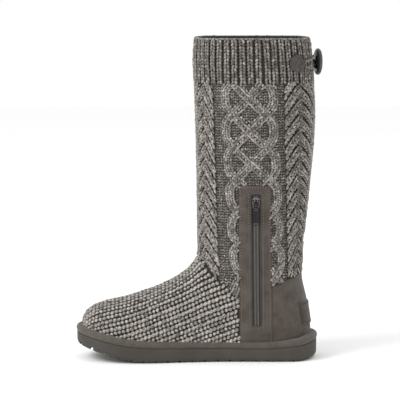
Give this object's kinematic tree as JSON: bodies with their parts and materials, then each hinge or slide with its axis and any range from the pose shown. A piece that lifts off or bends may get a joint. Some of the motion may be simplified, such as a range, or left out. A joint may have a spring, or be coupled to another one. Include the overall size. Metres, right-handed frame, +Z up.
{
  "type": "cable knit boot",
  "caption": "Tall cable knit boot for the right foot with a ribbed cuff, suede zip panel and heel counter, a button and loop at the back of the cuff, and a moulded sole.",
  "frame": {"origin": "on the floor under the middle of the sole's length, on the flat face of a tread lug", "axes": "+Z up, +X from toe to heel, -Y towards the inner side with the zip"},
  "size_m": [0.2764, 0.117, 0.361],
  "materials": {
    "foam_sole": "matt moulded foam",
    "suede_binding": "brushed suede, rolled",
    "fleece": "short fleece",
    "heather_yarn": "chunky heathered knit",
    "suede": "brushed suede",
    "label_suede": "pressed suede",
    "zip_tape": "woven tape",
    "gunmetal": "dark plated",
    "loop_leather": "waxed leather",
    "button_horn": "satin"
  },
  "bodies": {
    "boot": {"outsole": "foam_sole", "binding": "suede_binding", "insole": "fleece", "upper": "heather_yarn", "zip_panel": "suede", "heel_counter": "suede", "heel_label": "label_suede", "zip_tape": "zip_tape", "zip_slider": "gunmetal", "loop_patch": "loop_leather", "button_loop": "loop_leather", "button": "button_horn"},
    "pull": {"zip_pull": "gunmetal"}
  },
  "joints": [
    {"name": "pull_swing", "type": "hinge", "parent": "boot", "child": "pull", "pos_m": [0.06132, -0.05302, 0.18044], "axis": [-0.9997, -0.0256, -0.0017], "range_deg": [0, 165]}
  ]
}
